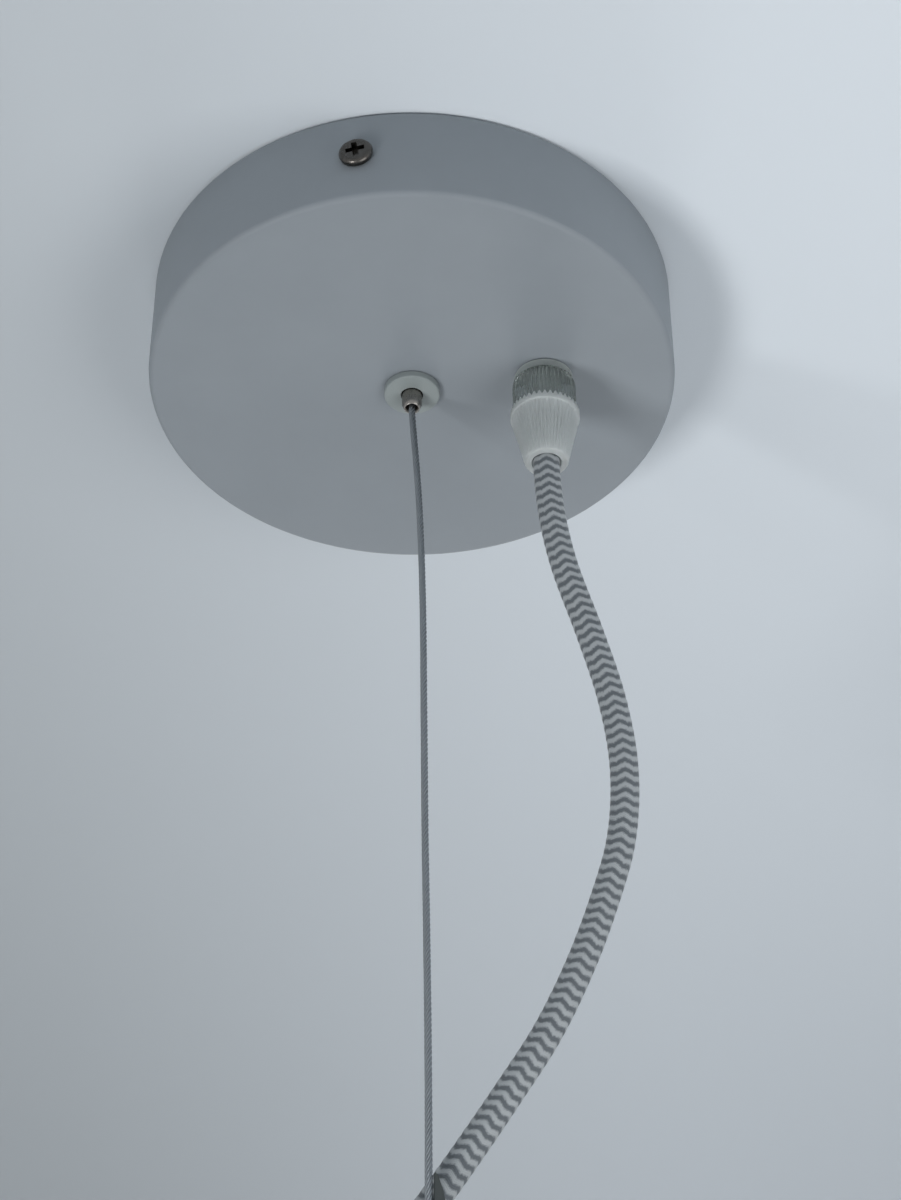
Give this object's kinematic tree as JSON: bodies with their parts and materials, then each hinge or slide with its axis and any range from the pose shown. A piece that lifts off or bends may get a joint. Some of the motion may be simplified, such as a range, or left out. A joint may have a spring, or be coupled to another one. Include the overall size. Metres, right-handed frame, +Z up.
{
  "type": "pendant lamp ceiling canopy",
  "caption": "Round ceiling canopy of a pendant lamp, with a suspension wire in a quick-release wire gripper and a textile flex in a clear cord grip.",
  "frame": {"origin": "on the ceiling plane, on the canopy's axis, at the centre of the bracket's flat top face", "axes": "+Z up into the ceiling; +Y along the mounting bracket, from one side screw to the other; the cord grip is close to +X"},
  "size_m": [0.12, 0.1256, 0.3627],
  "materials": {
    "powder_coat": "matte powder coat, blue-grey",
    "zinc_steel": "zinc plated",
    "nickel": "dark nickel plated",
    "brass": "turned",
    "wire_rope": "stranded steel",
    "clear_plastic": "clear moulded",
    "frosted_plastic": "frosted translucent, moulded",
    "white_plastic": "moulded",
    "dark_plastic": "moulded",
    "textile_braid": "braided, grey and white zigzag",
    "brown_insulation": "extruded",
    "blue_insulation": "extruded",
    "green_yellow_insulation": "extruded, green and yellow",
    "tinned_copper": "tinned"
  },
  "bodies": {
    "root": {"canopy": "powder_coat", "mounting_bracket": "zinc_steel", "side_screw_1": "nickel", "side_screw_2": "nickel", "gripper_body": "powder_coat", "gripper_spring": "zinc_steel", "gripper_cap": "brass", "gripper_washer": "zinc_steel", "gripper_nut": "zinc_steel", "grip_body": "clear_plastic", "grip_locknut": "zinc_steel", "inner_sleeve": "dark_plastic", "terminal_block": "white_plastic", "terminal_insert_1": "brass", "terminal_insert_2": "brass", "terminal_screw_1": "zinc_steel", "terminal_screw_2": "zinc_steel", "terminal_screw_3": "zinc_steel", "terminal_screw_4": "zinc_steel", "block_screw": "zinc_steel", "earth_screw": "brass", "earth_washer": "zinc_steel", "earth_lug": "tinned_copper", "core_live": "brown_insulation", "core_neutral": "blue_insulation", "core_earth": "green_yellow_insulation", "ferrule_live": "tinned_copper", "ferrule_neutral": "tinned_copper", "suspension_wire": "wire_rope", "wire_tail_cap": "tinned_copper", "wire_ferrule": "tinned_copper", "cable": "textile_braid", "cable_coil": "textile_braid", "coil_tie": "dark_plastic", "cable_clip": "dark_plastic", "lamp_sleeve": "dark_plastic", "lamp_core_1": "blue_insulation", "lamp_core_2": "brown_insulation", "lamp_core_3": "green_yellow_insulation", "lamp_ferrule_1": "tinned_copper", "lamp_ferrule_2": "tinned_copper", "lamp_ferrule_3": "tinned_copper"},
    "release_plunger": {"release_plunger": "nickel", "gripper_ball_1": "zinc_steel", "gripper_ball_2": "zinc_steel", "gripper_ball_3": "zinc_steel", "ball_follower": "brass"},
    "clamp_collet": {"grip_collet": "white_plastic"},
    "clamp_cap": {"grip_cap": "frosted_plastic"}
  },
  "joints": [
    {"name": "plunger_press", "type": "slide", "parent": "root", "child": "release_plunger", "axis": [0, 0, 1], "range_m": [0, 0.002], "stiffness_N_per_m": 600, "springref_m": -0.003, "deforming": ["gripper_spring"]},
    {"name": "collet_slide", "type": "slide", "parent": "root", "child": "clamp_collet", "axis": [0, 0, -1], "range_m": [0, 0.003]},
    {"name": "cap_turn", "type": "hinge", "parent": "clamp_collet", "child": "clamp_cap", "pos_m": [0.03014, 0.0019, -0.045], "axis": [0, 0, -1], "range_deg": [0, 1080]}
  ],
  "couplings": [
    {"joint": "cap_turn", "follows": "collet_slide", "rad_per_m": 6283.2}
  ]
}
